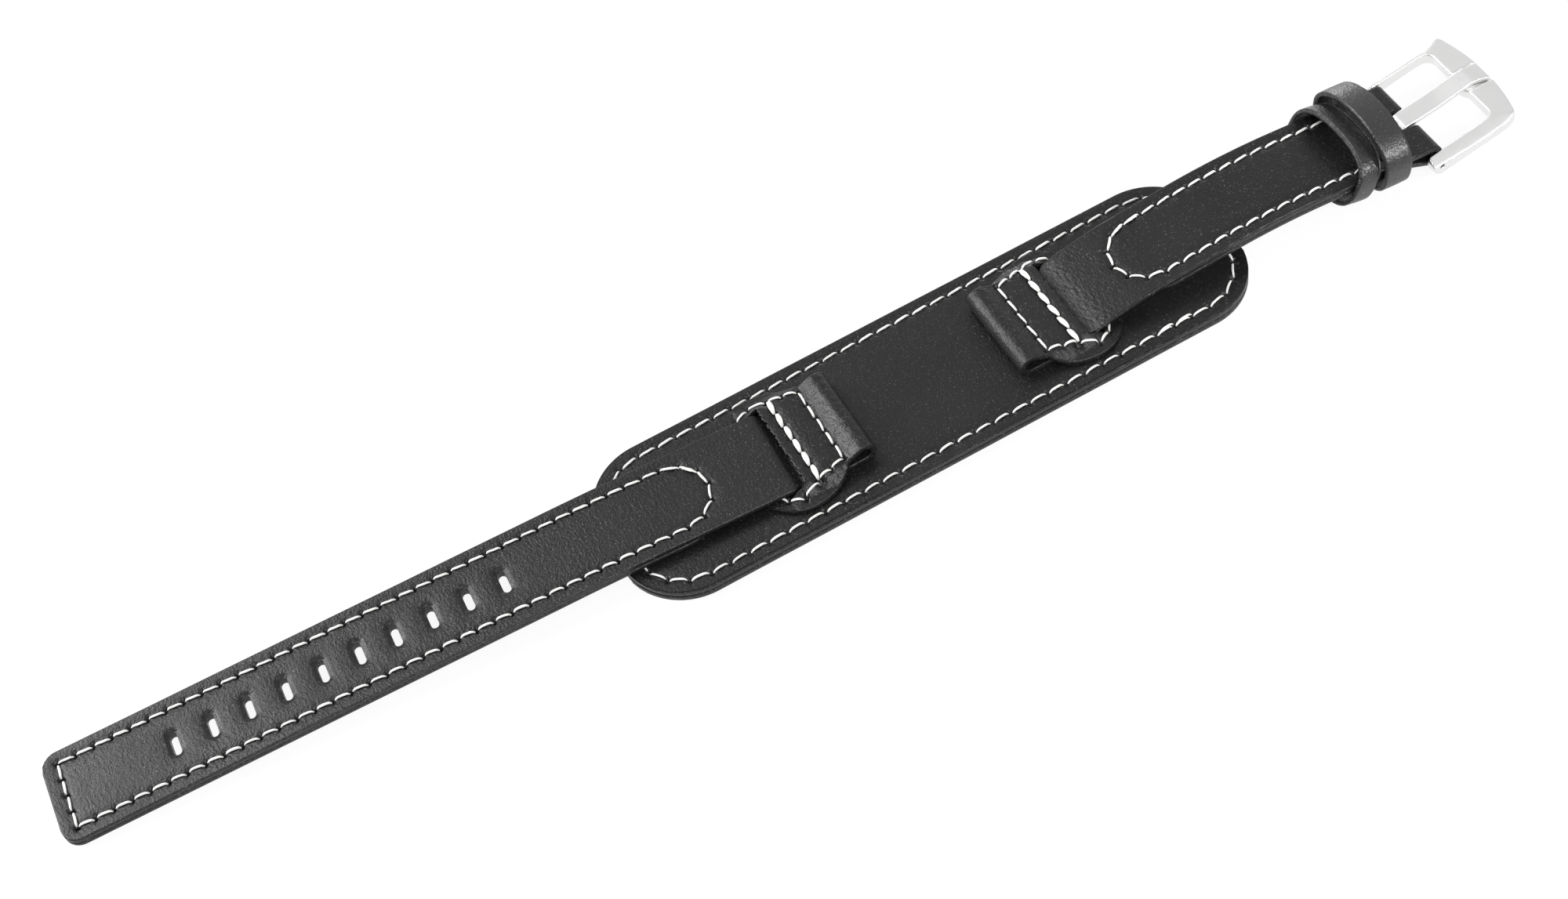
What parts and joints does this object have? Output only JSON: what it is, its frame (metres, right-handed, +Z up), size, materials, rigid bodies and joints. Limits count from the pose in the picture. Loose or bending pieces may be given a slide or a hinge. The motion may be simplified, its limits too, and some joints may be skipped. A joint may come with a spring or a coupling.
{
  "type": "bund watch strap",
  "caption": "Stitched black leather bund watch strap: a wrist pad with folded lug tabs, a perforated strap, a short strap with leather keepers and a steel pin buckle.",
  "frame": {"origin": "centre of the underside of the pad, the face that lies on the wrist or on a table", "axes": "+X along the pad towards the buckle, +Y across the pad, +Z up out of the pad towards the watch"},
  "size_m": [0.253, 0.03, 0.0126],
  "materials": {
    "black_leather": "smooth black calf leather with a fine grain and a satin sheen",
    "lining_leather": "matt black lining leather",
    "stiffener": "thin black fibre stiffener between the leathers",
    "white_thread": "thick white waxed thread",
    "satin_steel": "light satin steel with polished inner bevels",
    "spring_bar_steel": "plain bright steel"
  },
  "bodies": {
    "pad": {"pad_top": "black_leather", "pad_reinforcement": "stiffener", "pad_lining": "lining_leather", "pad_seam": "white_thread", "long_tab": "black_leather", "short_tab": "black_leather", "long_tab_seam": "white_thread", "short_tab_seam": "white_thread", "long_tongue_seam": "white_thread", "short_tongue_seam": "white_thread", "long_strap_anchor": "black_leather", "short_strap_anchor": "black_leather"},
    "long_strap": {"long_strap_top": "black_leather", "long_strap_reinforcement": "stiffener", "long_strap_lining": "lining_leather", "long_strap_seam": "white_thread"},
    "short_strap": {"short_strap_top": "black_leather", "short_strap_reinforcement": "stiffener", "short_strap_lining": "lining_leather", "short_strap_seam": "white_thread", "fixed_keeper": "black_leather", "bar_tube": "spring_bar_steel", "bar_spring": "spring_bar_steel"},
    "floating_keeper": {"floating_keeper": "black_leather"},
    "buckle": {"buckle_frame": "satin_steel"},
    "tongue": {"buckle_tongue": "satin_steel"},
    "near_pin": {"bar_pin_near": "spring_bar_steel"},
    "far_pin": {"bar_pin_far": "spring_bar_steel"}
  },
  "joints": [
    {"name": "long_strap_lift", "type": "hinge", "parent": "pad", "child": "long_strap", "pos_m": [-0.0268, 0, 0.0039], "axis": [0.0541, 0.9985, 0], "range_deg": [0, 75]},
    {"name": "short_strap_lift", "type": "hinge", "parent": "pad", "child": "short_strap", "pos_m": [0.0268, 0, 0.0039], "axis": [0, -1, 0], "range_deg": [0, 75]},
    {"name": "floating_keeper_slide", "type": "slide", "parent": "short_strap", "child": "floating_keeper", "axis": [0.994, 0, -0.1097], "range_m": [-0.01, 0]},
    {"name": "buckle_swing", "type": "hinge", "parent": "short_strap", "child": "buckle", "pos_m": [0.0902, 0, 0.0029], "axis": [0, -1, 0], "range_deg": [-75, 30]},
    {"name": "tongue_swing", "type": "hinge", "parent": "buckle", "child": "tongue", "pos_m": [0.0902, 0, 0.0029], "axis": [0, -1, 0], "range_deg": [0, 60]},
    {"name": "near_pin_press", "type": "slide", "parent": "short_strap", "child": "near_pin", "axis": [0, 1, 0], "range_m": [0, 0.0012], "stiffness_N_per_m": 300, "springref_m": -0.001},
    {"name": "far_pin_press", "type": "slide", "parent": "short_strap", "child": "far_pin", "axis": [0, -1, 0], "range_m": [0, 0.0012], "stiffness_N_per_m": 300, "springref_m": -0.001}
  ]
}
